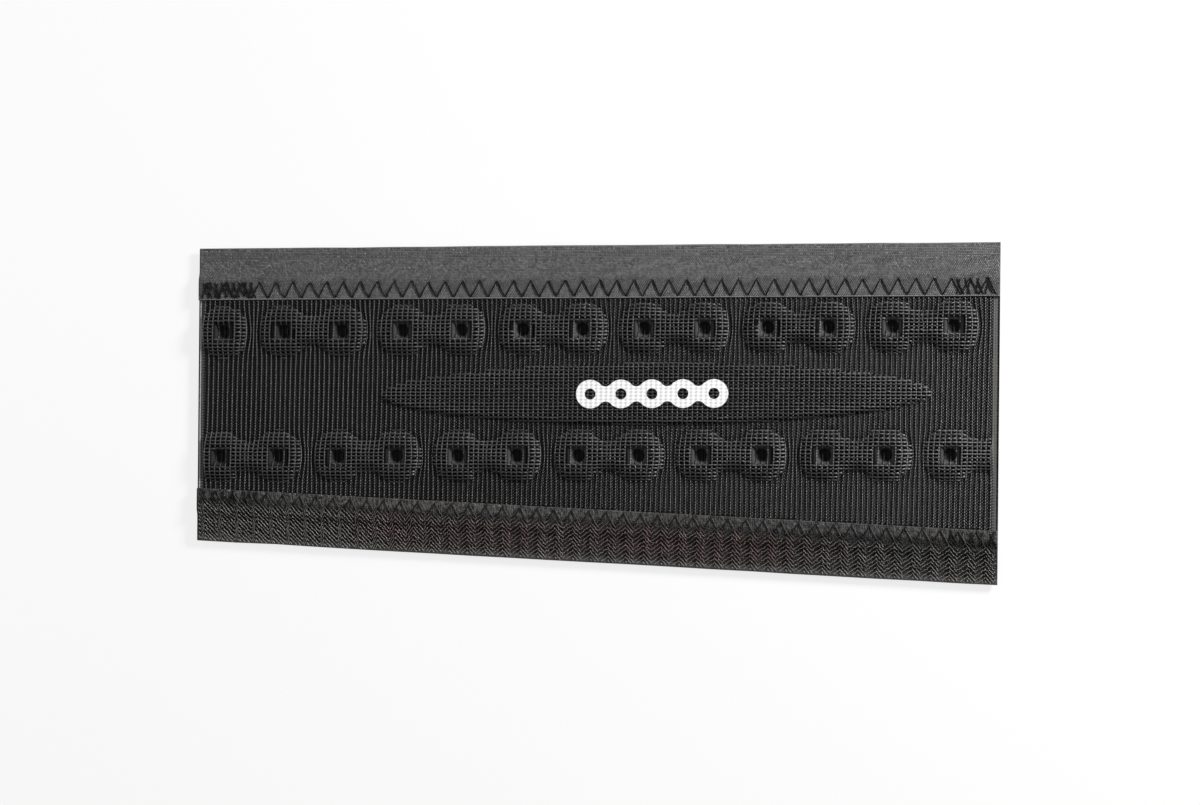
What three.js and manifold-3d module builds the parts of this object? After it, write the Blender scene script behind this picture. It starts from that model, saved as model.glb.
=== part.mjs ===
// A chainstay protector: a moulded foam pad with a ribbed mesh face, embossed with two rows of chain
// links round a long raised oval. A loop strip is sewn along its upper edge and a hook strip along its
// tapered lower edge, each with a zigzag lockstitch of a needle thread and a bobbin thread.
// It lies flat with its face up. Millimetres, +X along the chainstay, +Y across it, +Z up out of the
// face. The origin is under the middle of the outline, on the surface that the pad's back lies on.
import * as THREE from "three";
import { mergeVertices } from "three/addons/utils/BufferGeometryUtils.js";
import Module from "manifold-3d";

const wasm = await Module();
wasm.setup();

// Outline
const LENGTH = 250;
const LEFT_WIDTH = 92; // over both strips, at the narrow end
const RIGHT_WIDTH = 104; // over both strips, at the wide end
const END_LEAN = 0.55; // degrees that the cut ends lean from square

// Pad
const BORDER_TOP = 2.2; // the pressed border, under the strips and along the cut ends
const PRESS_SLOPE = 1.5; // width of the slope where the border's back lifts off the surface
const END_STRIP = 1.8; // the smooth pressed strip along each cut end
const FIELD_RISE = 0.55; // from the border to the ribs' crests
const RIB_PITCH = 1.55;
const RIB_DEPTH = 0.45;
const RIB_LEAN = 1.45; // degrees that the ribs lean from square

// Strips
const STRIP_WIDTH = 16.5;
const STRIP_THICKNESS = 0.8;
const BEND_WIDTH = 3; // where a strip turns down past the pad's edge
const SELVEDGE = 1.4; // plain woven edge, with neither loops nor hooks
const PILE_HEIGHT = 1.2; // of the loops, which lie on the surface below
const HOOK_DROP = 0.9; // how far the hook strip turns down
const HOOK_HEIGHT = 1.3;
const HOOK_ROWS = 4;
const CHEVRON_LENGTH = 5.5;
const CHEVRON_RISE = 2.4;
const CHEVRON_WIDTH = 1.5;
const CLEARANCE = 0.3; // between a piece and the next one that it doesn't rest on
const OVERRUN = 1; // how far a cutting form runs past what it cuts

// Embossing, measured from its middle line
const PATTERN_INSET = 45.4; // from the upper edge to the middle line, at the middle of the length
const PATTERN_TURN = 0.27; // degrees that the embossing is turned on the pad
const UPPER_ROW_Y = 20.2;
const LOWER_ROW_Y = -18.9;
const UPPER_ROW_PHASE = -12.2; // x of one link's middle
const LOWER_ROW_PHASE = 5;
const LINK_STEP = 38;
const PIN_SPACING = 18.6;
const LOBE_RADIUS = 7.8;
const WAIST_WIDTH = 9.2;
const LINK_RISE = 1.45;
const LINK_DRAFT = 1.1; // how far the link's flank leans in
const POCKET_SIZE = 7;
const POCKET_CORNER = 1.8;
const POCKET_DEPTH = 1.2;
const PIN_HOLE_RADIUS = 2.05;
const PIN_HOLE_SIDES = 10;
const LINK_CURVE_STEPS = 4;

// Raised oval and the mark printed on it
const OVAL_LENGTH = 171;
const OVAL_WIDTH = 19;
const OVAL_X = 19.2;
const OVAL_RISE = 0.8;
const OVAL_DRAFT = 1;
const OVAL_CURVE_STEPS = 20;
const MARK_LOBES = 5;
const MARK_STEP = 9.6;
const MARK_LOBE_RADIUS = 4.4;
const MARK_WAIST = 4.6;
const MARK_HOLE_RADIUS = 1.7;
const MARK_THICKNESS = 0.15;
const MARK_CURVE_STEPS = 3;

// Seams
const STITCH_LENGTH = 5.4; // one zig and one zag
const STITCH_WIDTH = 4.9;
const STITCH_MARGIN = 0.1; // from a thread to the edge of the strip or of the pad
const THREAD_SPREAD = 0.95; // width of a slanting stitch, measured across the strip
const THREAD_HEIGHT = 0.32;
const BOBBIN_CLEARANCE = 0.18; // from a bobbin thread to the surface below
const BACKTACK_LENGTH = 16.2; // of stitches half as long, at each end of a seam
const SEAM_MARGIN = 1; // from the cut end to the first stitch

// Colours from the photograph, lifted a little from its blacks
const FACE_BLACK = 0x1c1c1d;
const LOOP_GREY = 0x4a4a4b;
const HOOK_BLACK = 0x2b2a2a;
const THREAD_BLACK = 0x151516;
const MARK_WHITE = 0xf2f2f2;

const upperEdgeY = RIGHT_WIDTH / 2;
const endSlope = Math.tan(THREE.MathUtils.degToRad(END_LEAN));
const ribSlope = Math.tan(THREE.MathUtils.degToRad(RIB_LEAN));
const leanPivotY = upperEdgeY - LEFT_WIDTH / 2;
const LEFT = -1;
const RIGHT = 1;
const stripTop = BORDER_TOP + STRIP_THICKNESS;
const stitchInset = STITCH_MARGIN + THREAD_SPREAD / 2; // to the middle of a turn
const lap = STITCH_WIDTH + 2 * stitchInset; // how far a strip lies over the pad
const padInset = STRIP_WIDTH - lap;
const borderLift = THREAD_HEIGHT + BOBBIN_CLEARANCE;
const fieldTop = BORDER_TOP + FIELD_RISE;
const linkTop = fieldTop + LINK_RISE;
const ovalTop = fieldTop + OVAL_RISE;
const embedZ = BORDER_TOP / 2; // where raised forms start, inside the pad
const patternY = upperEdgeY - PATTERN_INSET;
const patternTurn = THREE.MathUtils.degToRad(PATTERN_TURN);

// A point on the cut end, at height y on the plan.
function onEnd(side, y) {
  return new THREE.Vector2((side * LENGTH) / 2 + endSlope * (y - leanPivotY), y);
}

// The lower edge's line, y = rise + slope * x, through the two lower corners.
const lowerLeft = onEnd(LEFT, upperEdgeY - LEFT_WIDTH);
const lowerRight = onEnd(RIGHT, upperEdgeY - RIGHT_WIDTH);
const lowerSlope = (lowerRight.y - lowerLeft.y) / (lowerRight.x - lowerLeft.x);
const lowerStretch = Math.hypot(1, lowerSlope);

// Lines parallel to the upper and the lower edge, moved towards +Y by an offset.
const fromUpper = (offset) => ({ rise: upperEdgeY + offset, slope: 0 });
const fromLower = (offset) => ({
  rise: lowerLeft.y - lowerSlope * lowerLeft.x + offset * lowerStretch,
  slope: lowerSlope,
});

const seams = [
  { name: "upper", lineAt: fromUpper, inward: -1 },
  { name: "lower", lineAt: fromLower, inward: 1 },
];

// Where such a line meets the cut end, moved outwards by an overrun.
function corner(side, line, overrun = 0) {
  const endX = side * (LENGTH / 2 + overrun) - endSlope * leanPivotY;
  const y = (line.rise + line.slope * endX) / (1 - line.slope * endSlope);
  return new THREE.Vector2(endX + endSlope * y, y);
}

// A closed geometry as a manifold-3d solid.
function solidOf(geometry) {
  const bare = geometry.index ? geometry.toNonIndexed() : geometry.clone();
  bare.deleteAttribute("normal");
  bare.deleteAttribute("uv");
  const merged = mergeVertices(bare, 1e-4);
  return new wasm.Manifold(
    new wasm.Mesh({
      numProp: 3,
      vertProperties: merged.attributes.position.array,
      triVerts: new Uint32Array(merged.index.array),
    }),
  );
}

// A manifold-3d solid as a geometry for a mesh.
function geometryOf(solid) {
  const mesh = solid.getMesh();
  const geometry = new THREE.BufferGeometry();
  const vertices = new THREE.BufferAttribute(new Float32Array(mesh.vertProperties), mesh.numProp);
  geometry.setAttribute("position", vertices);
  geometry.setIndex(new THREE.BufferAttribute(new Uint32Array(mesh.triVerts), 1));
  geometry.computeVertexNormals();
  return geometry;
}

// Moves every vertex of a geometry by a function of its place.
function reshape(geometry, move) {
  const positions = geometry.attributes.position;
  const point = new THREE.Vector3();
  for (let i = 0; i < positions.count; i += 1) {
    point.fromBufferAttribute(positions, i);
    move(point);
    positions.setXYZ(i, point.x, point.y, point.z);
  }
  return geometry;
}

// A flat outline raised between two heights.
function plate(shape, bottom, top, curveSegments = 1) {
  const geometry = new THREE.ExtrudeGeometry(shape, {
    depth: top - bottom,
    bevelEnabled: false,
    curveSegments,
  });
  return geometry.translate(0, 0, bottom);
}

// The four-sided column between two lines across the part, drawn in or let out at the cut ends.
function column(lowerLine, upperLine, bottom, top, overrun) {
  const shape = new THREE.Shape([
    corner(LEFT, lowerLine, overrun),
    corner(RIGHT, lowerLine, overrun),
    corner(RIGHT, upperLine, overrun),
    corner(LEFT, upperLine, overrun),
  ]);
  return solidOf(plate(shape, bottom, top));
}

// A section of [offset, height] points, run from end to end along one long edge.
function runAlong(section, lineAt, overrun = 0) {
  const shape = new THREE.Shape(section.map(([offset, z]) => new THREE.Vector2(offset, z)));
  const geometry = new THREE.ExtrudeGeometry(shape, { depth: 1, bevelEnabled: false });
  return reshape(geometry, (p) => {
    const end = corner(p.z > 0.5 ? RIGHT : LEFT, lineAt(p.x), overrun);
    p.set(end.x, end.y, p.y);
  });
}

// Evenly spaced places from one x to another, about a step apart.
function spaced(from, to, step) {
  const count = Math.max(1, Math.round((to - from) / step));
  return Array.from({ length: count + 1 }, (_, i) => from + ((to - from) * i) / count);
}

// A three-sided ridge that zigzags between two lines: a sewing thread, or one chevron row of hooks.
// It turns at each x. Its flat side is at the height base, less what the strip turns down there, and
// with a negative height it hangs below that.
function zigzag({ xs, width, lineAt, offset, rise, base, height, turnedDown = () => 0 }) {
  const legs = xs.length - 1;
  const ridge = new THREE.CylinderGeometry(1, 1, 1, 3, legs);
  ridge.rotateZ(-Math.PI / 2);
  const flat = Math.cos((2 * Math.PI) / 3);
  const half = Math.sin((2 * Math.PI) / 3);
  return reshape(ridge, (p) => {
    const turn = Math.round((p.x + 0.5) * legs);
    const distance = offset + (turn % 2) * rise;
    const line = lineAt(distance);
    const across = (Math.sign(height) * p.y * width) / 2 / half;
    const y = line.rise + line.slope * xs[turn] + across;
    const up = (p.z - flat) / (1 - flat);
    p.set(xs[turn] + endSlope * (y - leanPivotY), y, base - turnedDown(distance) + up * height);
  });
}

// A link plate's outline: two round lobes and the narrow waist between them, drawn in by an inset.
function linkOutline(inset) {
  const radius = LOBE_RADIUS - inset;
  const waist = WAIST_WIDTH / 2 - inset;
  const half = PIN_SPACING / 2;
  const fillet = (half * half + waist * waist - radius * radius) / (2 * (radius - waist));
  const turn = Math.atan2(waist + fillet, half);
  const shape = new THREE.Shape();
  shape.absarc(half, 0, radius, -Math.PI + turn, Math.PI - turn, false);
  shape.absarc(0, waist + fillet, fillet, -turn, -Math.PI + turn, true);
  shape.absarc(-half, 0, radius, turn, 2 * Math.PI - turn, false);
  shape.absarc(0, -waist - fillet, fillet, Math.PI - turn, turn, true);
  return shape;
}

// A boss with a sloped flank: an outline at one height, joined to its drawn-in copy above it.
function boss(outlineAt, draft, bottom, top, curveSegments) {
  const outer = outlineAt(0).getPoints(curveSegments);
  const inner = outlineAt(draft).getPoints(curveSegments);
  return reshape(plate(outlineAt(0), bottom, top, curveSegments), (p) => {
    if (p.z < (bottom + top) / 2) return;
    const distances = outer.map((q) => Math.hypot(q.x - p.x, q.y - p.y));
    const drawnIn = inner[distances.indexOf(Math.min(...distances))];
    p.set(drawnIn.x, drawnIn.y, p.z);
  });
}

function pocketOutline() {
  const half = POCKET_SIZE / 2;
  const straight = half - POCKET_CORNER;
  return new THREE.Shape([
    new THREE.Vector2(half, -straight),
    new THREE.Vector2(half, straight),
    new THREE.Vector2(straight, half),
    new THREE.Vector2(-straight, half),
    new THREE.Vector2(-half, straight),
    new THREE.Vector2(-half, -straight),
    new THREE.Vector2(-straight, -half),
    new THREE.Vector2(straight, -half),
  ]);
}

// The middles of every link whose lobes reach the field, in both rows.
function linkPlaces() {
  const rows = [
    { y: UPPER_ROW_Y, phase: UPPER_ROW_PHASE },
    { y: LOWER_ROW_Y, phase: LOWER_ROW_PHASE },
  ];
  const reach = LENGTH / 2 + PIN_SPACING / 2 + LOBE_RADIUS / 2;
  const places = [];
  for (const { y, phase } of rows) {
    const first = Math.ceil((-reach - phase) / LINK_STEP);
    for (let i = first; phase + i * LINK_STEP < reach; i += 1) {
      places.push({ x: phase + i * LINK_STEP, y });
    }
  }
  return places;
}

// The ribs, as one ridged sheet that runs past the field on every side.
function ribbedSheet() {
  const half = LENGTH / 2 + ribSlope * RIGHT_WIDTH + OVERRUN;
  const count = Math.ceil((2 * half) / RIB_PITCH);
  const section = [new THREE.Vector2(-half, embedZ)];
  for (let i = 0; i <= count; i += 1) {
    const x = -half + i * RIB_PITCH;
    section.push(new THREE.Vector2(x, fieldTop - RIB_DEPTH));
    section.push(new THREE.Vector2(x + RIB_PITCH / 2, fieldTop));
  }
  section.push(new THREE.Vector2(-half + (count + 0.5) * RIB_PITCH, embedZ));
  const sheet = new THREE.ExtrudeGeometry(new THREE.Shape(section), {
    depth: 2 * RIGHT_WIDTH,
    bevelEnabled: false,
  });
  return reshape(sheet, (p) => {
    const y = RIGHT_WIDTH - p.z;
    p.set(p.x + ribSlope * (y - leanPivotY), y, p.y);
  });
}

// A form of the embossing, put at its place in the pattern, as a solid.
function embossed(form, x, y) {
  const placed = form.clone().translate(x, y, 0).rotateZ(patternTurn);
  return solidOf(placed.translate(0, patternY, 0));
}

// A link plate that stands out of the ribs, with a square pocket and a round hole at each pin.
// The holes go down to the level of the pressed border.
function pressedLink() {
  const bottom = embedZ - OVERRUN;
  const top = linkTop + OVERRUN;
  const pocket = plate(pocketOutline(), linkTop - POCKET_DEPTH, top);
  const hole = new THREE.CylinderGeometry(
    PIN_HOLE_RADIUS,
    PIN_HOLE_RADIUS,
    top - bottom,
    PIN_HOLE_SIDES,
  );
  hole.rotateX(Math.PI / 2).translate(0, 0, (bottom + top) / 2);
  return {
    body: boss(linkOutline, LINK_DRAFT, embedZ, linkTop, LINK_CURVE_STEPS),
    cuts: [LEFT, RIGHT].flatMap((side) =>
      [pocket, hole].map((form) => form.clone().translate((side * PIN_SPACING) / 2, 0, 0)),
    ),
  };
}

// Everything that stands above the pressed border.
function raisedFace() {
  const oval = (inset) =>
    new THREE.Shape().absellipse(0, 0, OVAL_LENGTH / 2 - inset, OVAL_WIDTH / 2 - inset, 0, 2 * Math.PI);
  const link = pressedLink();
  let face = solidOf(ribbedSheet());
  face = face.add(embossed(boss(oval, OVAL_DRAFT, embedZ, ovalTop, OVAL_CURVE_STEPS), OVAL_X, 0));
  for (const { x, y } of linkPlaces()) face = face.add(embossed(link.body, x, y));
  for (const { x, y } of linkPlaces()) {
    for (const cut of link.cuts) face = face.subtract(embossed(cut, x, y));
  }
  return face;
}

function makePad() {
  const field = column(
    fromLower(STRIP_WIDTH + CLEARANCE),
    fromUpper(-STRIP_WIDTH - CLEARANCE),
    embedZ / 2,
    linkTop + OVERRUN,
    -END_STRIP,
  );
  const slab = column(fromLower(padInset), fromUpper(-padInset), 0, BORDER_TOP, 0);
  let pad = slab.add(raisedFace().intersect(field));
  for (const { lineAt, inward } of seams) {
    const lift = [
      [inward * (STRIP_WIDTH + PRESS_SLOPE), 0],
      [inward * STRIP_WIDTH, borderLift],
      [inward * (padInset - OVERRUN), borderLift],
      [inward * (padInset - OVERRUN), -OVERRUN],
      [inward * (STRIP_WIDTH + PRESS_SLOPE), -OVERRUN],
    ];
    pad = pad.subtract(solidOf(runAlong(lift, lineAt, OVERRUN)));
  }
  return geometryOf(pad);
}

// How far a strip has turned down, at a distance from its outer edge.
function turnDown(drop, distance) {
  const share = (padInset - distance) / BEND_WIDTH;
  return drop * THREE.MathUtils.clamp(share, 0, 1);
}

// A strip's section: level over the pad's border, then turned down past the pad's edge.
// inward is -1 for the upper strip and 1 for the lower one, and pile is the loops' depth below it.
function stripSection(inward, drop, pile) {
  const flangeTop = stripTop - drop;
  const flangeBottom = BORDER_TOP - drop;
  const section = [
    [STRIP_WIDTH, BORDER_TOP],
    [STRIP_WIDTH, stripTop],
    [padInset, stripTop],
    [padInset - BEND_WIDTH, flangeTop],
    [0, flangeTop],
    [0, flangeBottom],
  ];
  if (pile > 0) {
    section.push([SELVEDGE, flangeBottom]);
    section.push([SELVEDGE, flangeBottom - pile]);
    section.push([padInset - CLEARANCE - BEND_WIDTH / 2, flangeBottom - pile]);
  } else {
    section.push([padInset - CLEARANCE - BEND_WIDTH, flangeBottom]);
  }
  section.push([padInset - CLEARANCE, BORDER_TOP]);
  return section.map(([distance, z]) => [inward * distance, z]);
}

function makeLoopStrip() {
  return runAlong(stripSection(-1, BORDER_TOP - PILE_HEIGHT, PILE_HEIGHT), fromUpper);
}

function makeHookStrip() {
  let strip = solidOf(runAlong(stripSection(1, HOOK_DROP, 0), fromLower));
  const seamEdge = padInset + STITCH_MARGIN;
  const firstRow = SELVEDGE + CHEVRON_WIDTH / 2;
  const lastRow = seamEdge - CLEARANCE - CHEVRON_RISE - CHEVRON_WIDTH / 2;
  const sunk = STRIP_THICKNESS / 2;
  for (let i = 0; i < HOOK_ROWS; i += 1) {
    const row = zigzag({
      xs: spaced(CLEARANCE - LENGTH / 2, LENGTH / 2 - CLEARANCE, CHEVRON_LENGTH / 2),
      width: CHEVRON_WIDTH,
      lineAt: fromLower,
      offset: firstRow + ((lastRow - firstRow) * i) / (HOOK_ROWS - 1),
      rise: CHEVRON_RISE,
      base: stripTop - sunk,
      height: HOOK_HEIGHT + sunk,
      turnedDown: (distance) => turnDown(HOOK_DROP, distance),
    });
    strip = strip.add(solidOf(row));
  }
  return geometryOf(strip);
}

// One thread of a seam, with short stitches at both ends, on the strip's face or the pad's back.
function makeThread(lineAt, inward, base, height) {
  const end = LENGTH / 2 - SEAM_MARGIN;
  const start = end - BACKTACK_LENGTH;
  return zigzag({
    xs: [
      ...spaced(-end, -start, STITCH_LENGTH / 4),
      ...spaced(-start, start, STITCH_LENGTH / 2).slice(1),
      ...spaced(start, end, STITCH_LENGTH / 4).slice(1),
    ],
    width: THREAD_SPREAD,
    lineAt,
    offset: inward * (STRIP_WIDTH - stitchInset),
    rise: -inward * STITCH_WIDTH,
    base,
    height,
  });
}

// A short length of chain as a plain printed figure, one outline with a hole in each lobe.
function makeMark() {
  const half = MARK_STEP / 2;
  const waist = MARK_WAIST / 2;
  const radius = MARK_LOBE_RADIUS;
  const fillet = (half * half + waist * waist - radius * radius) / (2 * (radius - waist));
  const turn = Math.atan2(waist + fillet, half);
  const xs = Array.from({ length: MARK_LOBES }, (_, i) => (i - (MARK_LOBES - 1) / 2) * MARK_STEP);
  const shape = new THREE.Shape();
  xs.forEach((x, i) => {
    const start = i === 0 ? Math.PI : Math.PI + turn;
    const end = i === MARK_LOBES - 1 ? 2 * Math.PI : 2 * Math.PI - turn;
    shape.absarc(x, 0, radius, start, end, false);
    if (i < MARK_LOBES - 1) shape.absarc(x + half, -waist - fillet, fillet, Math.PI - turn, turn, true);
  });
  [...xs].reverse().forEach((x, i) => {
    const start = i === 0 ? 0 : turn;
    const end = i === MARK_LOBES - 1 ? Math.PI : Math.PI - turn;
    shape.absarc(x, 0, radius, start, end, false);
    if (i < MARK_LOBES - 1) shape.absarc(x - half, waist + fillet, fillet, -turn, -Math.PI + turn, true);
  });
  for (const x of xs) {
    shape.holes.push(new THREE.Path().absarc(x, 0, MARK_HOLE_RADIUS, 0, 2 * Math.PI, true));
  }
  return plate(shape, 0, MARK_THICKNESS, MARK_CURVE_STEPS);
}

function finish(color, roughness) {
  return new THREE.MeshStandardMaterial({ color, roughness, metalness: 0 });
}

function piece(name, geometry, material) {
  const mesh = new THREE.Mesh(geometry, material);
  mesh.name = name;
  return mesh;
}

const threadFinish = finish(THREAD_BLACK, 0.6);
const protector = new THREE.Group();

protector.add(piece("pad", makePad(), finish(FACE_BLACK, 0.75)));
protector.add(piece("loop_strip", makeLoopStrip(), finish(LOOP_GREY, 0.85)));
protector.add(piece("hook_strip", makeHookStrip(), finish(HOOK_BLACK, 0.6)));
for (const { name, lineAt, inward } of seams) {
  const needle = makeThread(lineAt, inward, stripTop, THREAD_HEIGHT);
  const bobbin = makeThread(lineAt, inward, borderLift, -THREAD_HEIGHT);
  protector.add(piece(`${name}_needle_thread`, needle, threadFinish));
  protector.add(piece(`${name}_bobbin_thread`, bobbin, threadFinish));
}

const mark = piece("printed_mark", makeMark(), finish(MARK_WHITE, 0.45));
mark.geometry.translate(OVAL_X, 0, ovalTop).rotateZ(patternTurn).translate(0, patternY, 0);
protector.add(mark);

export default protector;
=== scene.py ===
import math

import bmesh
import bpy
import numpy as np
from mathutils import Matrix, Vector


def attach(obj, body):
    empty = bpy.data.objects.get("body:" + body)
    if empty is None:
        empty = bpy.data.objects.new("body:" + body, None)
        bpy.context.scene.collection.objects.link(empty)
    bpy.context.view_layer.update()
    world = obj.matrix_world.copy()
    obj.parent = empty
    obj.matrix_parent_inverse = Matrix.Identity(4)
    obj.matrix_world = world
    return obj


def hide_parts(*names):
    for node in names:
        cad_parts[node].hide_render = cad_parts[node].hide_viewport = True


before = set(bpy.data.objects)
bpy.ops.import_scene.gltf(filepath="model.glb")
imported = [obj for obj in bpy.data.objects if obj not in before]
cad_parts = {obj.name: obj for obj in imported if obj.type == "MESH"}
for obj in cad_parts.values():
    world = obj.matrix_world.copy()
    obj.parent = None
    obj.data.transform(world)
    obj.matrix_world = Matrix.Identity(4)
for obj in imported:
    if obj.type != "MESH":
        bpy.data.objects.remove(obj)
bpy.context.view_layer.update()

MM = 0.001
TAU = 2 * math.pi

# Outline
LENGTH = 250
LEFT_WIDTH = 92
RIGHT_WIDTH = 104
END_SLOPE = math.tan(math.radians(0.55))
UPPER_EDGE_Y = RIGHT_WIDTH / 2
LEAN_PIVOT_Y = UPPER_EDGE_Y - LEFT_WIDTH / 2
UPPER = 1
LOWER = -1

# Pad
BORDER_TOP = 2.2
BORDER_LIFT = 0.5  # of the border's back, under the strips
PAD_INSET = 10.45  # from the outer edge of a strip to the pad's edge
PRESS_SLOPE = 1.5
END_STRIP = 1.8
VALLEY_TOP = 2.3
RIB_HEIGHT = 0.45
RIB_WIDTH = 0.6  # in the flat field; wider where the mesh is raised
RIB_THICKNESS = 0.46
RIB_PITCH = 1.55
RIB_SLOPE = math.tan(math.radians(1.45))
FIRST_RIB_X = -(LENGTH / 2 + RIB_SLOPE * RIGHT_WIDTH + 1) + RIB_PITCH / 2
BAR_PITCH = 1.11
KNIT_PITCH = 0.89
FIELD_REACH = 40  # up and down from the middle, past the pad's edges
FAR_AWAY = 1e3  # further than any two points of the part lie apart

# Embossing
PATTERN_Y = 6.0
PATTERN_TURN = math.radians(0.27)
LINK_ROWS = [(20.1, -11.8), (-19.0, 5.4)]  # height of a row, and x of one link's middle
LINK_STEP = 38
PIN_SPACING = 18.6
LOBE_RADIUS = 7.8
LOBE_SQUARENESS = 2.35  # 2 is a circle
BEND_CREST = PIN_SPACING / 2 + LOBE_RADIUS - 0.8  # where the ribs bend most, near a link's end
LEFT_BEND = 0.3  # how far the ribs bend outwards round a link's ends
RIGHT_BEND = 0.75
WAIST_HALF = 4.6
LINK_RISE = 1.45
LINK_SHOULDER = 4.0  # width over which a link rises to its full height
PIN_BULGE = 0.12  # share by which the mesh spreads round a pin
PIN_REACH = 5.0
POCKET_HALF = 3.5
POCKET_DEPTH = 1.1
PIN_HOLE_RADIUS = 2.05
PIN_HOLE_DEPTH = 1.35
PIT_TONE = 42  # display level of the painted shade that fills a pin's pit
OVAL_X = 19.2
OVAL_HALF_LENGTH = 85.5
OVAL_HALF_WIDTH = 9.5
OVAL_RISE = 0.8
OVAL_SHOULDER = 1.9
SLOPE_STEP = 0.4  # to either side of a point, where its slope is measured

# Strips
STRIP_WIDTH = 16.5
STRIP_THICKNESS = 0.8
STRIP_TOP = BORDER_TOP + STRIP_THICKNESS
BEND_WIDTH = 3  # over which a strip bends down from the pad's edge
DENT_RADIUS = 0.55  # of the dent that each turn of a seam presses into its strip
LOOP_DROP = 1.0
HOOK_DROP = 0.9
CHEVRON_LENGTH = 5.5
CHEVRON_RISE = 2.9
CHEVRON_PITCH = 1.3
HOOK_ROWS = 14
FIRST_HOOK_ROW = -4.4  # cut off by the outer edge
HOOK_LENGTH = 0.62  # of the bent wire before it is sized

# Seams
SEAM_START = 1  # from a cut end to a seam's first turn
STITCH_LENGTH = 5.4
STITCH_INNER = 0.5  # from the strip's inner edge to the nearer turns
STITCH_OUTER = {UPPER: 5.8, LOWER: 5.3}
THREAD_WIDTH = 0.48
THREAD_HEIGHT = 0.3
THREAD_TWIST = 1.1  # turns for each millimetre
SEAM_PERIODS = round((LENGTH - 2 * SEAM_START) / STITCH_LENGTH)
SEAM_PERIOD = (LENGTH - 2 * SEAM_START) / SEAM_PERIODS
SELVEDGE_START = 13.5  # of the hook tape's smooth edge, from its outer edge
SCALLOP_DEPTH = 0.9

LOWER_LEFT_Y = UPPER_EDGE_Y - LEFT_WIDTH
LOWER_LEFT = (-LENGTH / 2 + END_SLOPE * (LOWER_LEFT_Y - LEAN_PIVOT_Y), LOWER_LEFT_Y)
LOWER_RIGHT = (LENGTH / 2 + END_SLOPE * (-UPPER_EDGE_Y - LEAN_PIVOT_Y), -UPPER_EDGE_Y)
LOWER_SLOPE = (LOWER_RIGHT[1] - LOWER_LEFT[1]) / (LOWER_RIGHT[0] - LOWER_LEFT[0])
LOWER_STRETCH = math.hypot(1, LOWER_SLOPE)
LOWER_TURN = math.atan(LOWER_SLOPE)


# Plan of the part


def place(edge, along, distance):
    """The plan point at a distance from a long edge, where along runs from one cut end to the other."""
    if edge == UPPER:
        y = UPPER_EDGE_Y - distance + 0 * along
    else:
        rise = LOWER_LEFT[1] - LOWER_SLOPE * LOWER_LEFT[0] + distance * LOWER_STRETCH
        y = (rise + LOWER_SLOPE * (along - END_SLOPE * LEAN_PIVOT_Y)) / (1 - LOWER_SLOPE * END_SLOPE)
    return along + END_SLOPE * (y - LEAN_PIVOT_Y), y


def smooth_step(values, low, high):
    share = np.clip((values - low) / (high - low), 0, 1)
    return share * share * (3 - 2 * share)


def cushion(inside, width):
    """A rounded shoulder: 0 at an outline, rising steeply at first, and 1 from the width inwards."""
    share = np.clip(inside / width, 0, 1)
    return share * (2 - share)


def link_middles():
    reach = LENGTH / 2 + PIN_SPACING / 2 + LOBE_RADIUS / 2
    for row_y, phase in LINK_ROWS:
        first = math.ceil((-reach - phase) / LINK_STEP)
        last = math.floor((reach - phase) / LINK_STEP)
        for i in range(first, last + 1):
            yield phase + i * LINK_STEP, row_y


LINKS = list(link_middles())
PINS = [(x + side * PIN_SPACING / 2, y) for x, y in LINKS for side in (-1, 1)]


def to_pattern(x, y):
    cos, sin = math.cos(PATTERN_TURN), math.sin(PATTERN_TURN)
    return x * cos + (y - PATTERN_Y) * sin, (y - PATTERN_Y) * cos - x * sin


def from_pattern(u, v):
    cos, sin = math.cos(PATTERN_TURN), math.sin(PATTERN_TURN)
    return u * cos - v * sin, u * sin + v * cos + PATTERN_Y


def link_distance(u, v):
    """Distance outside the nearest link's outline, negative inside it."""
    fillet_top = (PIN_SPACING / 2) ** 2 + WAIST_HALF**2 - LOBE_RADIUS**2
    fillet = fillet_top / (2 * (LOBE_RADIUS - WAIST_HALF))
    tangent = PIN_SPACING / 2 * fillet / (fillet + LOBE_RADIUS)
    nearest = np.full(np.shape(u), FAR_AWAY)
    for link_x, link_y in LINKS:
        across, up = np.abs(u - link_x), np.abs(v - link_y)
        power = LOBE_SQUARENESS
        lobe = (np.abs(across - PIN_SPACING / 2) ** power + up**power) ** (1 / power) - LOBE_RADIUS
        waist = fillet - np.hypot(across, np.minimum(up, WAIST_HALF + fillet) - WAIST_HALF - fillet)
        shape = np.where(across < tangent, np.maximum(waist, up - LOBE_RADIUS), lobe)
        nearest = np.minimum(nearest, shape)
    return nearest


def nearest_pin(u, v):
    best_u, best_v = np.full(np.shape(u), FAR_AWAY), np.full(np.shape(u), FAR_AWAY)
    for pin_x, pin_y in PINS:
        closer = np.hypot(u - pin_x, v - pin_y) < np.hypot(best_u, best_v)
        best_u = np.where(closer, u - pin_x, best_u)
        best_v = np.where(closer, v - pin_y, best_v)
    return best_u, best_v


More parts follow.
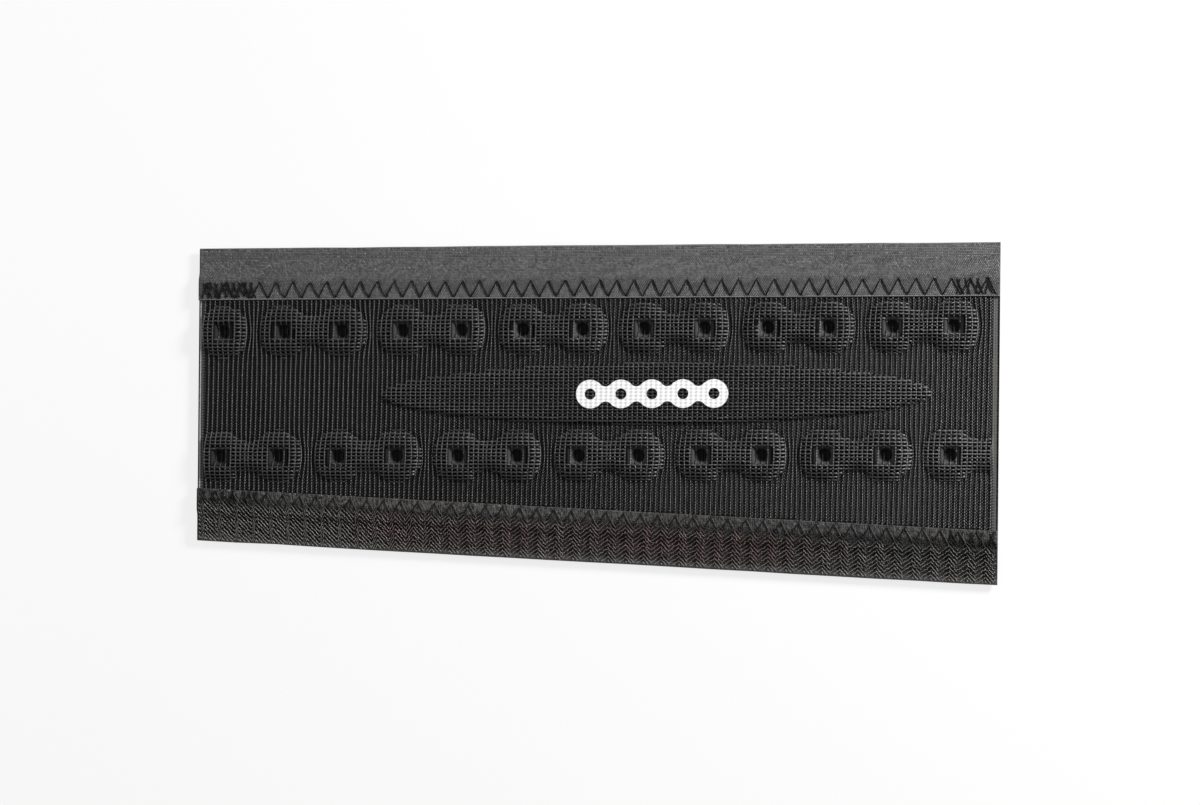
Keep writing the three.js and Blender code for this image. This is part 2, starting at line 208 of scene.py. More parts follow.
def relief(x, y):
    """What the moulding does at each point: how much of it is raised, in a pocket, in a pin hole."""
    u, v = to_pattern(x, y)
    link = cushion(-link_distance(u, v), LINK_SHOULDER)
    reach = np.hypot((u - OVAL_X) / OVAL_HALF_LENGTH, v / OVAL_HALF_WIDTH)
    slant = np.hypot((u - OVAL_X) / OVAL_HALF_LENGTH**2, v / OVAL_HALF_WIDTH**2) + 1e-9
    oval = cushion((1 - reach) * reach / slant, OVAL_SHOULDER)
    pin_u, pin_v = nearest_pin(u, v)
    steep = 1 - smooth_step(np.abs(pin_u), POCKET_HALF - 2.0, POCKET_HALF - 0.2)
    gentle = 1 - smooth_step(np.abs(pin_v), POCKET_HALF - 1.9, POCKET_HALF)
    hole = 1 - smooth_step(np.hypot(pin_u, pin_v), PIN_HOLE_RADIUS - 0.4, PIN_HOLE_RADIUS + 0.15)
    return link, oval, steep * gentle, hole


def ground(x, y):
    """Height of the mesh between its ribs."""
    link, oval, pocket, hole = relief(x, y)
    height = VALLEY_TOP + LINK_RISE * link + OVAL_RISE * oval
    return height - POCKET_DEPTH * pocket - PIN_HOLE_DEPTH * hole


def shoulder(x, y):
    """How much painted highlight falls on the mesh where a slope faces right, towards the lamp."""
    rise = ground(x + SLOPE_STEP, y) - ground(x - SLOPE_STEP, y)
    return np.clip(-rise / (2 * SLOPE_STEP) * 1.8, 0, 1) * (1 - relief(x, y)[2])


def dim_slope(x, y):
    """How steeply a link's surface faces the loop strip, where painted shade darkens its mesh, more towards
    the right.
    """
    rise = LINK_RISE * (relief(x, y + SLOPE_STEP)[0] - relief(x, y - SLOPE_STEP)[0])
    return np.clip(-rise / (2 * SLOPE_STEP) * 1.5, 0, 1) * smooth_step(x, -100, 60)


def link_shade_and_rim_light(x, y):
    """How much painted shadow falls on a point at the foot of a link, and painted shade on the link's upper
    slope, and how close the point lies to the link's outline from inside, where it gets painted highlight."""
    distance = link_distance(*to_pattern(x, y))
    outside = (1 - smooth_step(distance, 0.3, 2.0)) * (distance > 0)
    inside = (1 - smooth_step(-distance, 0.4, 2.2)) * (distance <= 0)
    return np.maximum(outside, 0.8 * dim_slope(x, y)), inside


def stretched(x, y):
    """Where the moulding draws a point of the flat mesh to, round the pins."""
    u, v = to_pattern(x, y)
    pull = 0 * u
    for link_x, link_y in LINKS:
        across = np.abs(u - link_x)
        around = smooth_step(across, PIN_SPACING / 2, BEND_CREST)
        around -= smooth_step(across, BEND_CREST, LINK_STEP / 2)
        beside = 1 - smooth_step(np.abs(v - link_y), 0, LOBE_RADIUS + 0.6)
        pull += np.where(u > link_x, RIGHT_BEND, -LEFT_BEND) * around * beside
    pin_u, pin_v = nearest_pin(u, v)
    bulge = PIN_BULGE * np.exp(-(pin_u**2 + pin_v**2) / (2 * PIN_REACH**2))
    return from_pattern(u + pull + bulge * pin_u, v + bulge * pin_v)


def from_end(x, y):
    """Distance in from the nearer cut end."""
    return LENGTH / 2 - np.abs(x - END_SLOPE * (y - LEAN_PIVOT_Y))


# Meshes


def add_object(name, data):
    added = bpy.data.objects.new(name, data)
    bpy.context.scene.collection.objects.link(added)
    return added


def point_outwards(mesh, merge_distance=0):
    """Turns the faces of a closed mesh outwards, after its doubles are merged where it has any."""
    shell = bmesh.new()
    shell.from_mesh(mesh)
    if merge_distance:
        bmesh.ops.remove_doubles(shell, verts=shell.verts, dist=merge_distance)
    bmesh.ops.recalc_face_normals(shell, faces=shell.faces)
    shell.to_mesh(mesh)
    shell.free()


def plain_mesh(shape):
    """The mesh that an object's curve or modifier makes."""
    evaluated = shape.evaluated_get(bpy.context.evaluated_depsgraph_get())
    return bpy.data.meshes.new_from_object(evaluated)


def mesh_object(name, points, faces=(), edges=(), closed=False):
    mesh = bpy.data.meshes.new(name)
    mesh.from_pydata((np.asarray(points, float) * MM).tolist(), edges, faces)
    if closed:
        point_outwards(mesh)
    mesh.shade_smooth()
    return add_object(name, mesh)


def add_attribute(piece, name, kind, values):
    layer = piece.data.attributes.new(name, kind, "POINT")
    layer.data.foreach_set("vector" if kind == "FLOAT_VECTOR" else "value", np.ravel(values))


def dress(piece, node=None):
    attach(piece, "root")
    if node:
        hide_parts(node)


def grid_faces(index):
    """Four-sided faces over a grid of point numbers."""
    corners = index[:-1, :-1], index[:-1, 1:], index[1:, 1:], index[1:, :-1]
    return np.stack([c.ravel() for c in corners], 1).tolist()


# Nodes


class Socket:
    """A node's output. Arithmetic on it adds Math nodes to its tree."""

    def __init__(self, nodes, end):
        self.nodes = nodes
        self.end = end

    def math(self, operation, *others):
        values = dict(enumerate((self, *others)))
        return self.nodes.add("ShaderNodeMath", {"operation": operation}, values)

    def __add__(self, other):
        return self.math("ADD", other)

    def __sub__(self, other):
        return self.math("SUBTRACT", other)

    def __mul__(self, other):
        return self.math("MULTIPLY", other)

    def __truediv__(self, other):
        return self.math("DIVIDE", other)

    def __rsub__(self, other):
        return self.nodes.add("ShaderNodeMath", {"operation": "SUBTRACT"}, {0: other, 1: self})

    __radd__ = __add__
    __rmul__ = __mul__

    def smooth(self, low, high):
        limits = {"Value": self, "From Min": low, "From Max": high}
        return self.nodes.add("ShaderNodeMapRange", {"interpolation_type": "SMOOTHSTEP"}, limits)

    def ripple(self, period, phase=0.0):
        """A wave between 0 and 1, with a crest a quarter of a period on from where the phase puts it."""
        return (self * (TAU / period) + phase).math("SINE") * 0.5 + 0.5


class Nodes:
    """Adds nodes to one tree."""

    def __init__(self, tree):
        self.tree = tree

    def add(self, kind, settings=None, sockets=None, output=0):
        node = self.tree.nodes.new(kind)
        for name, value in (settings or {}).items():
            setattr(node, name, value)
        for name, value in (sockets or {}).items():
            if isinstance(value, Socket):
                self.tree.links.new(value.end, node.inputs[name])
            else:
                node.inputs[name].default_value = value
        return Socket(self, node.outputs[output]) if node.outputs else None

    def place_in_mm(self, axes=""):
        """The surface's own place, and those of its coordinates that are named."""
        metres = self.add("ShaderNodeTexCoord", output="Object")
        spot = self.add("ShaderNodeVectorMath", {"operation": "SCALE"}, {0: metres, "Scale": 1 / MM})
        return [spot, *[self.add("ShaderNodeSeparateXYZ", sockets={0: spot}, output=axis) for axis in axes]]

    def attribute(self, name):
        return self.add("ShaderNodeAttribute", {"attribute_name": name}, output="Fac")

    def noise(self, vector, scale, detail=2.0):
        return self.add("ShaderNodeTexNoise", sockets={"Vector": vector, "Scale": scale, "Detail": detail})

    def cells(self, vector, scale):
        return self.add("ShaderNodeTexVoronoi", sockets={"Vector": vector, "Scale": scale})

    def blend(self, share, first, second):
        sockets = {0: share, 6: linear(first), 7: linear(second)}
        return self.add("ShaderNodeMix", {"data_type": "RGBA"}, sockets, output=2)

    def stretch(self, vector, scale, turn=0.0):
        sockets = {"Vector": vector, "Scale": scale, "Rotation": (0.0, 0.0, turn)}
        return self.add("ShaderNodeMapping", sockets=sockets)

    def bump(self, height, depth):
        """A bump from a height in millimetres."""
        sockets = {"Height": height, "Distance": depth * MM, "Strength": 1.0}
        return self.add("ShaderNodeBump", sockets=sockets)


def linear(colour):
    """A display colour of 0 to 255, or the one level of a grey, as a linear colour. A socket or a
    colour that is linear already stays as it is."""
    if isinstance(colour, Socket) or np.size(colour) == 4:
        return colour
    shares = [c / 255 for c in np.broadcast_to(colour, 3).tolist()]
    return (*[c / 12.92 if c <= 0.04045 else ((c + 0.055) / 1.055) ** 2.4 for c in shares], 1.0)


def new_finish(name, paint, sheen=0.0, specular=0.5):
    """A material. paint returns its colour, roughness and normal from the surface's own place, and
    may add how much of it lies under the painted shade of a pin's pit."""
    material = bpy.data.materials.new(name)
    material.use_nodes = True
    nodes = Nodes(material.node_tree)
    surface = material.node_tree.nodes["Principled BSDF"]
    surface.inputs["Sheen Weight"].default_value = sheen
    surface.inputs["Specular IOR Level"].default_value = specular
    colour, roughness, normal, *pit = paint(nodes)
    for socket, value in (("Base Color", colour), ("Roughness", roughness), ("Normal", normal)):
        material.node_tree.links.new(value.end, surface.inputs[socket])
    if pit:
        # painted shade: a flat dark over whatever lies in a pin's pit
        dark = nodes.add("ShaderNodeBsdfDiffuse", sockets={"Color": linear(PIT_TONE)})
        mix_in(nodes, material, pit[0], dark)
    return material


def mix_in(nodes, material, share, other):
    """Shows another shader over a share of a material's own."""
    own = Socket(nodes, material.node_tree.nodes["Principled BSDF"].outputs[0])
    mixed = nodes.add("ShaderNodeMixShader", sockets={0: share, 1: own, 2: other})
    material.node_tree.links.new(mixed.end, material.node_tree.nodes["Material Output"].inputs["Surface"])


def pattern_masks(x, y):
    """1 in the round pits of the pins, which get painted shade, and 1 in the flat middle of the oval."""
    u, v = to_pattern(x, y)
    gaps = []
    for row_y, phase in LINK_ROWS:
        across = (u - phase).math("PINGPONG", LINK_STEP / 2) - PIN_SPACING / 2
        gaps.append(across * across + (v - row_y) * (v - row_y))
    gap = gaps[0].math("MINIMUM", gaps[1]).math("SQRT")
    along, up = (u - OVAL_X) / OVAL_HALF_LENGTH, v / OVAL_HALF_WIDTH
    pit = gap.smooth(PIN_HOLE_RADIUS + 0.12, PIN_HOLE_RADIUS - 0.12)
    return pit, (along * along + up * up).math("SQRT").smooth(0.93, 0.6)


def paint_mesh_ground(nodes):
    spot, x, y = nodes.place_in_mm("XY")
    raised = nodes.attribute("raised")
    edge = nodes.attribute("edge")
    fibre = nodes.noise(spot, 3.0)
    knit = nodes.blend(fibre, 12, (40, 40, 41))
    pit, oval_middle = pattern_masks(x, y)
    # painted shade in the holes between the bars of the raised mesh
    between_bars = nodes.blend(raised, knit, 11)
    between_bars = nodes.blend(oval_middle * 0.8, between_bars, 33)
    lit_floor = fibre * 0.5 + x.smooth(-100, -40) * 0.5
    floor = nodes.blend(lit_floor, 22, 76)
    between_bars = nodes.blend(nodes.attribute("pocket"), between_bars, floor)
    right = x.smooth(-1, 1)
    band_width = 0.85 + right * (0.3 + y.smooth(-24, -4) * 0.95)
    eye = y.ripple(KNIT_PITCH) * edge.ripple(0.6, 2.2)
    punched = nodes.blend(eye.smooth(0.2, 0.6), 86, 9)
    hatch = (x * 0.7 + y).ripple(0.42)  # slanting threads of the right end strip
    lit = nodes.blend(fibre * 0.4 + hatch * 0.6, (66, 65, 64), (108, 107, 106))
    band = nodes.blend(right, nodes.blend(fibre, 146, (178, 177, 176)), lit)
    end = nodes.blend((edge - band_width).smooth(-0.1, 0.1), band, punched)
    fray = nodes.noise(spot, 1.5)
    cut = nodes.blend(fray.smooth(0.55, 0.75), 5, (70, 42, 36))
    end = nodes.blend((edge + fray * 0.12 - right * 0.16).smooth(0.4, 0.56), cut, end)
    colour = nodes.blend(edge.smooth(1.85, 2.05), end, between_bars)
    height = fibre * 0.6 + eye * edge.smooth(2.0, 1.8)
    return colour, fibre * 0.1 + 0.75, nodes.bump(height, 0.1), pit


def paint_rib_yarn(nodes):
    spot, x, y = nodes.place_in_mm("XY")
    stitch = y.ripple(KNIT_PITCH)
    fibre = nodes.noise(nodes.stretch(spot, (2.2, 0.7, 2.2)), 2.2)
    patch = nodes.noise(spot, 0.06)
    left = x.smooth(-10, -90)
    right = x.smooth(60, 122)
    raised = nodes.attribute("raised")
    pit, oval_middle = pattern_masks(x, y)
    # painted glints: towards the right end the stitches show brighter dots and the flat ribs are lighter
    level = stitch * (right * 0.5 + 0.3) + fibre * 0.55 + patch * 0.35 - 0.15
    flat = left * 0.32 + right * 0.18 + 0.18
    # the links are darker towards the left, and painted shade darkens the upper row's links towards the
    # right
    full = 0.55 - left * 0.1 - x.smooth(-10, 90) * y.smooth(8, 22) * 0.14
    # shine is a painted highlight on slopes that face right, stronger towards the right
    shine = nodes.attribute("shine") * (x.smooth(-130, 60) * 0.8 + 0.2)
    share = level * (flat + raised * (full - flat) - oval_middle * 0.36) + shine * (stitch * 0.45 + 0.1)
    # painted highlight on the ribs just inside a link's outline
    share = share + nodes.attribute("rim") * level * 0.25
    colour = nodes.blend(share.smooth(0, 1), (30, 30, 31), (107, 106, 105))
    # painted shadow at the foot of a link and painted shade on its upper slope
    colour = nodes.blend(nodes.attribute("foot") * 0.6, colour, 12)
    # painted shade over the ribs in a pin's pit, fainter towards the left
    dark = pit * (x.smooth(-100, -45) * 0.5 + 0.25)
    return colour, 0.42 - fibre * 0.12, nodes.bump(stitch + fibre * 0.3, 0.12), dark


def paint_knit_dot(nodes):
    spot, x = nodes.place_in_mm("X")
    fibre = nodes.noise(spot, 2.0)
    patch = nodes.noise(spot, 0.05)
    right = x.smooth(-90, 90)
    level = right * 0.55 + fibre * 0.4 + patch * 0.5 - 0.2
    colour = nodes.blend(level.smooth(0, 1), 38, (118, 117, 116))
    # painted shadow at the foot of a link
    colour = nodes.blend(nodes.attribute("foot") * 0.6, colour, 12)
    return colour, 0.5 - fibre * 0.15, nodes.bump(fibre, 0.04)


def paint_cut_foam(nodes):
    spot, z = nodes.place_in_mm("Z")
    cell = nodes.cells(spot, 3.2)
    layer = z.smooth(0.2, 0.5) - z.smooth(1.75, 2.05)
    colour = nodes.blend(layer * (cell * 0.5 + 0.5), (30, 30, 31), (48, 48, 49))
    return colour, cell * 0.1 + 0.8, nodes.bump(cell * layer, 0.15)


def paint_lining(nodes):
    spot, x, y = nodes.place_in_mm("XY")
    course = (y + (x.ripple(0.7) * 0.22)).ripple(0.55)
    fuzz = nodes.noise(spot, 5.0)
    patch = nodes.noise(spot, 0.05)
    level = course * 0.5 + fuzz * 0.4 + patch * 0.3
    colour = nodes.blend(level, (24, 24, 25), (58, 58, 59))
    return colour, fuzz * 0.1 + 0.8, nodes.bump(course + fuzz * 0.4, 0.12)


def seam_shade(x, y):
    """1 where the loop tape lies in painted shade between the zigzag's legs on its outer side, and 1 on the
    smooth triangles that its legs close off on the inner side, which get painted light."""
    along = x - (y - LEAN_PIVOT_Y) * END_SLOPE
    run = (along + LENGTH / 2 - SEAM_START).math("PINGPONG", SEAM_PERIOD / 2)
    turn = run * ((STITCH_OUTER[UPPER] - STITCH_INNER) / (SEAM_PERIOD / 2)) + STITCH_INNER
    inner = y - (UPPER_EDGE_Y - STRIP_WIDTH)
    return (inner - turn).smooth(0.0, 0.4) * inner.smooth(8.5, 4.0), (turn - inner).smooth(0.2, 0.6)


def paint_loop_tape(nodes):
    spot, x, y = nodes.place_in_mm("XY")
    twill = (x + y * 0.4).ripple(0.54)
    weft = y.ripple(0.5)
    fibre = nodes.noise(nodes.stretch(spot, (3.0, 1.0, 1.0)), 1.8)
    level = twill * 0.4 + weft * 0.2 + fibre * 0.4
    colour = nodes.blend(level, (30, 30, 31), 84)
    return colour, fibre * 0.15 + 0.65, nodes.bump(twill + weft * 0.5, 0.08)


def paint_twill_float(nodes):
    spot, x, y = nodes.place_in_mm("XY")
    tone = nodes.attribute("tone")
    patch = nodes.noise(spot, 0.05)
    mottle = nodes.noise(spot, 0.35)
    grain = nodes.noise(spot, 1.1).smooth(0.34, 0.66)
    # painted shade: the floats are darker towards the left end, away from the lamp
    level = tone * 0.9 + grain * 0.22 + patch * 0.4 + mottle * 0.35 - x.smooth(60, -115) * 0.08 - 0.465
    plain = nodes.blend(level, (54, 54, 55), (154, 154, 153))
    colour = nodes.blend(tone.smooth(0.985, 1.0), plain, (180, 180, 178))
    shaded, smooth = seam_shade(x, y)
    colour = nodes.blend(shaded * 0.6, colour, 50)
    # painted light on the triangles inside the zigzag
    colour = nodes.blend(smooth * 0.4, colour, (126, 126, 125))
    strand = nodes.noise(nodes.stretch(spot, (1.0, 5.0, 1.0), 0.9), 4.0)
    return colour, strand * 0.2 + 0.45, nodes.bump(strand, 0.06)


def from_lower_edge(x, y):
    return (y - x * LOWER_SLOPE - LOWER_LEFT[1] + LOWER_SLOPE * LOWER_LEFT[0]) / LOWER_STRETCH


def paint_hook_tape(nodes):
    spot, x, y = nodes.place_in_mm("XY")
    distance = from_lower_edge(x, y)
    turn = (x + LENGTH / 2 - SEAM_START) * (math.pi / SEAM_PERIOD)
    bulge = turn.math("COSINE").math("ABSOLUTE")
    inward = distance + bulge * SCALLOP_DEPTH - SELVEDGE_START
    band = inward.smooth(-0.15, 0.25)
    weft = distance.ripple(0.5)
    warp = x.ripple(0.62)
    fibre = nodes.noise(spot, 2.5)
    lump = nodes.noise(spot, 0.9).smooth(0.38, 0.62)
    tuft = nodes.noise(nodes.stretch(spot, (2.6, 0.7, 1.0)), 0.9).smooth(0.36, 0.6)
    fleck = nodes.cells(spot, 1.1).smooth(0.3, 0.1)
    field = nodes.blend(weft * warp * fibre, (14, 13, 13), (58, 54, 53))
    field = nodes.blend(distance.smooth(2.8, 0.4) * 0.7, field, (88, 86, 84))
    # painted shadow on the tape just below the smooth edge, towards the right end
    field = nodes.blend(inward.smooth(-2.2, -0.6) * x.smooth(0, 105) * 0.8, field, 8)
    # lumps and tufts of fleece, darker towards the left end
    fleece_level = lump * 0.3 + tuft * 0.5 + fibre * 0.2 - x.smooth(-50, -110) * 0.2
    plain = nodes.blend(fleece_level.smooth(0, 1), (17, 16, 16), (88, 86, 84))
    edge = nodes.blend(fleck * lump * 0.6, plain, (160, 156, 153))
    # painted shadow line along the smooth edge's lower side
    edge = nodes.blend(inward.smooth(1.0, 0.1) * 0.5, edge, (20, 19, 19))
    edge = nodes.blend(x.smooth(-110, 60) * 0.46, edge, (20, 19, 19))
    height = weft * warp * 0.5 + fibre * 0.4 + lump + tuft
    return nodes.blend(band, field, edge), fibre * 0.2 + 0.5, nodes.bump(height, 0.14)


def paint_hook_filament(nodes):
    spot, x, y = nodes.place_in_mm("XY")
    tone = nodes.attribute("tone")
    tint = nodes.noise(spot, 0.03)
    middle = (x / 95).math("ABSOLUTE").smooth(1.15, 0.45)
    inward = from_lower_edge(x, y).smooth(0.8, 4.0)
    brown = (middle * inward * (tint * 1.6 - 0.1)).smooth(0.15, 0.8)
    # tone carries the painted shade over the hooks next to the seam
    neutral = nodes.blend(tone, (24, 23, 23), (138, 136, 134))
    warm = nodes.blend(tone, (26, 21, 21), (142, 121, 118))
    drawn = nodes.noise(nodes.stretch(spot, (1.0, 1.0, 3.0)), 3.0)
    return nodes.blend(brown, neutral, warm), drawn * 0.2 + 0.3, nodes.bump(drawn, 0.03)


def paint_thread(nodes):
    spot, x, y = nodes.place_in_mm("XY")
    ply = (x + y).ripple(0.38)
    fibre = nodes.noise(spot, 4.0)
    dark = nodes.blend(ply * 0.5 + fibre * 0.5, 4, (20, 20, 21))
    colour = nodes.blend(nodes.attribute("tone"), dark, (84, 83, 82))
    return colour, fibre * 0.2 + 0.42, nodes.bump(ply + fibre * 0.4, 0.06)


def paint_print(nodes):
    spot, x, y = nodes.place_in_mm("XY")
    wale = ((x - (y - LEAN_PIVOT_Y) * RIB_SLOPE - FIRST_RIB_X) / RIB_PITCH).ripple(1.0, TAU / 4)
    bar = y.ripple(BAR_PITCH)
    ink = nodes.noise(spot, 2.0)
    weave = (1 - wale) * (1 - bar)
    colour = nodes.blend(weave * 0.6 + ink * 0.2, 246, 205)
    return colour, ink * 0.2 + 0.4, nodes.bump(wale + bar * 0.6 + ink * 0.2, 0.09)


def paint_floor(nodes):
    grain = nodes.noise(nodes.place_in_mm()[0], 0.01)
    colour = nodes.blend(grain, (0.88, 0.88, 0.88, 1), (0.9, 0.9, 0.9, 1))
    return colour, grain * 0.1 + 0.85, nodes.bump(grain, 0.001)


def whiten_floor(material):
    """Shows most of the floor as plain white to the camera, and keeps the object's shadow on it."""
    nodes = Nodes(material.node_tree)
    kinds = ("Camera", "Glossy", "Transmission")
    camera, glossy, passed = [nodes.add("ShaderNodeLightPath", output=f"Is {kind} Ray") for kind in kinds]
    seen = camera.math("MAXIMUM", glossy).math("MAXIMUM", passed)
    white = nodes.add("ShaderNodeEmission", sockets={"Color": (1, 1, 1, 1), "Strength": 1.0})
    mix_in(nodes, material, seen * 0.78, white)
    return material


# Growing what repeats


def new_tree(name, inputs):
    """An empty tree with named inputs, its node maker and those inputs' sockets."""
    tree = bpy.data.node_groups.new(name, "GeometryNodeTree")
    tree.interface.new_socket("Geometry", in_out="OUTPUT", socket_type="NodeSocketGeometry")
    for label, kind in {"Geometry": "Geometry", **inputs}.items():
        tree.interface.new_socket(label, in_out="INPUT", socket_type=f"NodeSocket{kind}")
    nodes = Nodes(tree)
    given = tree.nodes.new("NodeGroupInput")
    return nodes, {label: Socket(nodes, given.outputs[label]) for label in ("Geometry", *inputs)}


def end_tree(nodes, shape, finish):
    real = nodes.add("GeometryNodeRealizeInstances", sockets={0: shape})
    coloured = nodes.add("GeometryNodeSetMaterial", sockets={"Geometry": real, "Material": finish})
    smooth = nodes.add("GeometryNodeSetShadeSmooth", sockets={"Geometry": coloured})
    nodes.add("NodeGroupOutput", sockets={0: smooth})
    return nodes.tree


def cord_tree():
    """Sweeps an oval section along lines, with a vertex on top, twisted by an angle for each metre."""
    inputs = {"Width": "Float", "Height": "Float", "Sides": "Int", "Twist": "Float", "Finish": "Material"}
    nodes, given = new_tree("cords", inputs)
    lines = nodes.add("GeometryNodeMeshToCurve", sockets={"Mesh": given["Geometry"]})
    level = nodes.add("GeometryNodeSetCurveNormal", {"mode": "Z_UP"}, {"Curve": lines})
    run = nodes.add("GeometryNodeSplineParameter", output="Length")
    turned = nodes.add("GeometryNodeSetCurveTilt", sockets={"Curve": level, "Tilt": run * given["Twist"]})
    sockets = {"Resolution": given["Sides"], "Radius": 0.5}
    ring = nodes.add("GeometryNodeCurvePrimitiveCircle", sockets=sockets)
    size = nodes.add("ShaderNodeCombineXYZ", sockets={"X": given["Height"], "Y": given["Width"], "Z": 1.0})
    section = nodes.add("GeometryNodeTransform", sockets={"Geometry": ring, "Scale": size})
    sockets = {"Curve": turned, "Profile Curve": section, "Fill Caps": True}
    return end_tree(nodes, nodes.add("GeometryNodeCurveToMesh", sockets=sockets), given["Finish"])


def scatter_tree():
    """Puts a small form on every point, turned and sized by the point's own attributes."""
    nodes, given = new_tree("scattered forms", {"Form": "Object", "Size": "Float", "Finish": "Material"})
    settings = {"data_type": "FLOAT_VECTOR"}
    turn = nodes.add("GeometryNodeInputNamedAttribute", settings, {"Name": "turn"})
    size = nodes.add("GeometryNodeInputNamedAttribute", settings, {"Name": "size"})
    scale = nodes.add("ShaderNodeVectorMath", {"operation": "SCALE"}, {0: size, "Scale": given["Size"]})
    form = nodes.add("GeometryNodeObjectInfo", sockets={"Object": given["Form"]}, output="Geometry")
    facing = nodes.add("FunctionNodeEulerToRotation", sockets={0: turn})
    sockets = {"Points": given["Geometry"], "Instance": form, "Rotation": facing, "Scale": scale}
    return end_tree(nodes, nodes.add("GeometryNodeInstanceOnPoints", sockets=sockets), given["Finish"])


def grow(name, base, tree, values):
    """Runs a tree on an object and keeps the result as a plain mesh in the object's place."""
    modifier = base.modifiers.new("growth", "NODES")
    modifier.node_group = tree
    for item in tree.interface.items_tree:
        if item.name in values:
            modifier[item.identifier] = values[item.name]
    mesh = plain_mesh(base)
    mesh.name = name
    base.modifiers.remove(modifier)
    bpy.data.objects.remove(base)
    return add_object(name, mesh)


def cords(name, paths, width, height, finish, sides=6, twist=0.0, facts=None):
    """Cords along paths of points, each a closed tube. twist is in turns for each millimetre, and facts
    are values at the points: radius is a share of the width, and a finish may read the others."""
    edges = []
    first = 0
    for path in paths:
        edges += [(first + i, first + i + 1) for i in range(len(path) - 1)]
        first += len(path)
    base = mesh_object(name + "_lines", np.concatenate(paths), edges=edges)
    for fact, values in (facts or {}).items():
        add_attribute(base, fact, "FLOAT", np.concatenate(values))
    values = {"Width": width * MM, "Height": height * MM, "Sides": sides, "Twist": twist * TAU / MM}
    return grow(name, base, CORD_TREE, {**values, "Finish": finish})


def scatter(name, points, turns, sizes, form, finish, facts=None):
    """A form on every point. turns are Euler angles, sizes are shares along the form's axes, and facts
    are values at the points that a finish may read."""
    base = mesh_object(name + "_points", points)
    for fact, values in (facts or {}).items():
        add_attribute(base, fact, "FLOAT", values)
    add_attribute(base, "turn", "FLOAT_VECTOR", turns)
    add_attribute(base, "size", "FLOAT_VECTOR", sizes)
    piece = grow(name, base, SCATTER_TREE, {"Form": form, "Size": 1.0, "Finish": finish})
    bpy.data.objects.remove(form)
    return piece


CORD_TREE = cord_tree()
SCATTER_TREE = scatter_tree()


# Small forms


def bead_form(length, width, height):
    """A long low bead of eight faces, its middle on the surface."""
    x, y, z = length / 2, width / 2, height
    points = [(-x, 0, 0), (0, -y, 0), (x, 0, 0), (0, y, 0), (0, 0, z), (0, 0, -z)]
    faces = [(0, 1, 4), (1, 2, 4), (2, 3, 4), (3, 0, 4), (1, 0, 5), (2, 1, 5), (3, 2, 5), (0, 3, 5)]
    return mesh_object("bead", points, faces, closed=True)


def wire_form(path, radius, sides=3):
    """A wire bent along a path in its own XZ plane."""
    path = np.asarray(path, float)
    along = np.gradient(path, axis=0)
    along /= np.linalg.norm(along, axis=1)[:, None]
    points = []
    for (x, z), (dx, dz) in zip(path, along):
        for k in range(sides):
            angle = TAU * k / sides
            out, side = radius * math.cos(angle), radius * math.sin(angle)
            points.append((x - dz * out, side, z + dx * out))
    count = len(path)
    faces = []
    for i in range(count - 1):
        for k in range(sides):
            near, far = i * sides + k, i * sides + (k + 1) % sides
            faces.append((near, far, far + sides, near + sides))
    faces.append(list(range(sides)))
    faces.append([(count - 1) * sides + k for k in range(sides)])
    return mesh_object("wire", points, faces, closed=True)


# Pad


def pad_rows(along, border, inner, shares):
    """Rows of plan points from one long edge of the pad to the other. border lists distances in from
    both edges, and shares lie between the two lines at the inner distance."""
    low_y, high_y = place(LOWER, along, inner)[1], place(UPPER, along, inner)[1]
    rows = [place(LOWER, along, distance) for distance in border]
    for share in shares:
        y = low_y + (high_y - low_y) * share
        rows.append((along + END_SLOPE * (y - LEAN_PIVOT_Y), y))
    rows += [place(UPPER, along, distance) for distance in border[::-1]]
    return [np.array([row[axis] for row in rows]) for axis in (0, 1)]


